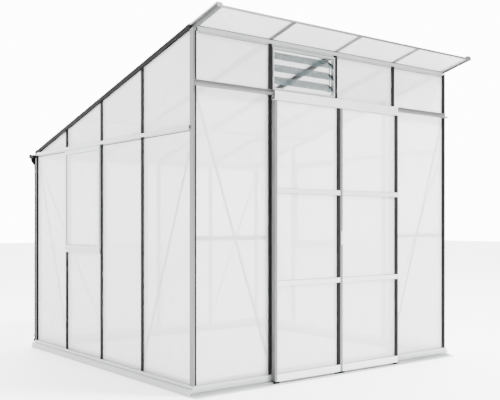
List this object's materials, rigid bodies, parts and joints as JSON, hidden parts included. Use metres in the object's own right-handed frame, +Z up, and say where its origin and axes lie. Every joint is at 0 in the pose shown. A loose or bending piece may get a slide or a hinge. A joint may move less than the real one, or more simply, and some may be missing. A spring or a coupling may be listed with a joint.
{
  "type": "lean-to greenhouse",
  "caption": "Lean-to greenhouse with a mono-pitch roof, sliding double doors under an overhang, a louvre, top-hung side windows, a rear gutter and a steel base.",
  "frame": {"origin": "centre of the bounding box at the ground, under the base rails", "axes": "+Z up, -Y out through the doors, +X to the right as seen from in front of the doors"},
  "size_m": [2.6, 2.919, 2.4785],
  "materials": {
    "aluminium": "satin anodised extrusion",
    "galvanised_steel": "galvanised, dull",
    "bolt_steel": "zinc plated",
    "polycarbonate": "translucent twin-wall sheet, opal",
    "black_trim": "black glazing strip, matt",
    "black_plastic": "black rainwater plastic, satin",
    "nylon": "black nylon, moulded",
    "glass": "clear horticultural glass"
  },
  "bodies": {
    "frame": {"base_rails": "galvanised_steel", "door_threshold": "aluminium", "wall_sills": "aluminium", "frame_bolts": "bolt_steel", "front_posts": "aluminium", "rear_posts": "aluminium", "left_wall_bars": "aluminium", "right_wall_bars": "aluminium", "rear_wall_bars": "aluminium", "front_wall_bars": "aluminium", "left_wall_panels": "polycarbonate", "right_wall_panels": "polycarbonate", "rear_wall_panels": "polycarbonate", "front_wall_panels": "polycarbonate", "wall_strips": "black_trim", "side_cross_rails": "aluminium", "front_cross_rails": "aluminium", "head_rail": "aluminium", "eave_rail": "aluminium", "door_track": "aluminium", "track_stops": "aluminium", "wall_braces": "aluminium", "verge_rails": "aluminium", "roof_rafters": "aluminium", "roof_purlin": "aluminium", "roof_front_edge": "aluminium", "roof_panels": "polycarbonate", "roof_strips": "black_trim", "gutter": "black_plastic", "end_caps": "black_trim", "downpipe_bends": "black_plastic", "downpipe": "black_plastic", "pipe_clips": "aluminium", "louvre_frame": "aluminium"},
    "left_door": {"left_door_stiles": "aluminium", "left_door_rails": "aluminium", "left_door_panes": "polycarbonate", "left_door_trim": "black_trim"},
    "left_door_left_wheel": {"left_door_left_roller": "nylon"},
    "left_door_right_wheel": {"left_door_right_roller": "nylon"},
    "right_door": {"right_door_stiles": "aluminium", "right_door_rails": "aluminium", "right_door_panes": "polycarbonate", "right_door_trim": "black_trim"},
    "right_door_left_wheel": {"right_door_left_roller": "nylon"},
    "right_door_right_wheel": {"right_door_right_roller": "nylon"},
    "blade_1": {"louvre_blade_1": "glass", "louvre_holders_1": "nylon"},
    "blade_2": {"louvre_blade_2": "glass", "louvre_holders_2": "nylon"},
    "blade_3": {"louvre_blade_3": "glass", "louvre_holders_3": "nylon"},
    "louvre_bar": {"louvre_link": "aluminium", "louvre_knob": "nylon"},
    "left_window": {"left_window_sash": "aluminium", "left_window_pane": "polycarbonate"},
    "left_stay": {"left_window_stay": "aluminium"},
    "right_window": {"right_window_sash": "aluminium", "right_window_pane": "polycarbonate"},
    "right_stay": {"right_window_stay": "aluminium"}
  },
  "joints": [
    {"name": "left_door_slide", "type": "slide", "parent": "frame", "child": "left_door", "axis": [-1, 0, 0], "range_m": [0, 0.6]},
    {"name": "left_door_left_wheel_spin", "type": "hinge", "parent": "left_door", "child": "left_door_left_wheel", "pos_m": [-0.56, -1.22355, 2.022], "axis": [0, -1, 0], "continuous": true},
    {"name": "left_door_right_wheel_spin", "type": "hinge", "parent": "left_door", "child": "left_door_right_wheel", "pos_m": [-0.071, -1.22355, 2.022], "axis": [0, -1, 0], "continuous": true},
    {"name": "right_door_slide", "type": "slide", "parent": "frame", "child": "right_door", "axis": [1, 0, 0], "range_m": [0, 0.6]},
    {"name": "right_door_left_wheel_spin", "type": "hinge", "parent": "right_door", "child": "right_door_left_wheel", "pos_m": [0.071, -1.22355, 2.022], "axis": [0, 1, 0], "continuous": true},
    {"name": "right_door_right_wheel_spin", "type": "hinge", "parent": "right_door", "child": "right_door_right_wheel", "pos_m": [0.56, -1.22355, 2.022], "axis": [0, 1, 0], "continuous": true},
    {"name": "blade_1_turn", "type": "hinge", "parent": "frame", "child": "blade_1", "pos_m": [-0.315, -1.17255, 2.115], "axis": [1, 0, 0], "range_deg": [-35, 39]},
    {"name": "blade_2_turn", "type": "hinge", "parent": "frame", "child": "blade_2", "pos_m": [-0.315, -1.17255, 2.201], "axis": [1, 0, 0], "range_deg": [-35, 39]},
    {"name": "blade_3_turn", "type": "hinge", "parent": "frame", "child": "blade_3", "pos_m": [-0.315, -1.17255, 2.287], "axis": [1, 0, 0], "range_deg": [-35, 39]},
    {"name": "louvre_bar_turn", "type": "hinge", "parent": "blade_1", "child": "louvre_bar", "pos_m": [-0.026, -1.14625, 2.1246], "axis": [1, 0, 0], "range_deg": [-39, 35]},
    {"name": "left_window_hinge", "type": "hinge", "parent": "frame", "child": "left_window", "pos_m": [-1.278, 0.40545, 1.719], "axis": [0, 1, 0], "range_deg": [0, 25]},
    {"name": "left_stay_pivot", "type": "hinge", "parent": "left_window", "child": "left_stay", "pos_m": [-1.263, 0.40545, 0.93], "axis": [0, 1, 0], "range_deg": [-12.5, 0]},
    {"name": "right_window_hinge", "type": "hinge", "parent": "frame", "child": "right_window", "pos_m": [1.278, 0.40545, 1.719], "axis": [0, -1, 0], "range_deg": [0, 25]},
    {"name": "right_stay_pivot", "type": "hinge", "parent": "right_window", "child": "right_stay", "pos_m": [1.263, 0.40545, 0.93], "axis": [0, -1, 0], "range_deg": [-12.5, 0]}
  ],
  "couplings": [
    {"joint": "left_door_left_wheel_spin", "follows": "left_door_slide", "rad_per_m": 100},
    {"joint": "left_door_right_wheel_spin", "follows": "left_door_slide", "rad_per_m": 100},
    {"joint": "right_door_left_wheel_spin", "follows": "right_door_slide", "rad_per_m": 100},
    {"joint": "right_door_right_wheel_spin", "follows": "right_door_slide", "rad_per_m": 100},
    {"joint": "blade_2_turn", "follows": "blade_1_turn", "ratio": 1},
    {"joint": "blade_3_turn", "follows": "blade_1_turn", "ratio": 1},
    {"joint": "louvre_bar_turn", "follows": "blade_1_turn", "ratio": -1},
    {"joint": "left_stay_pivot", "follows": "left_window_hinge", "ratio": -0.5},
    {"joint": "right_stay_pivot", "follows": "right_window_hinge", "ratio": -0.5}
  ]
}
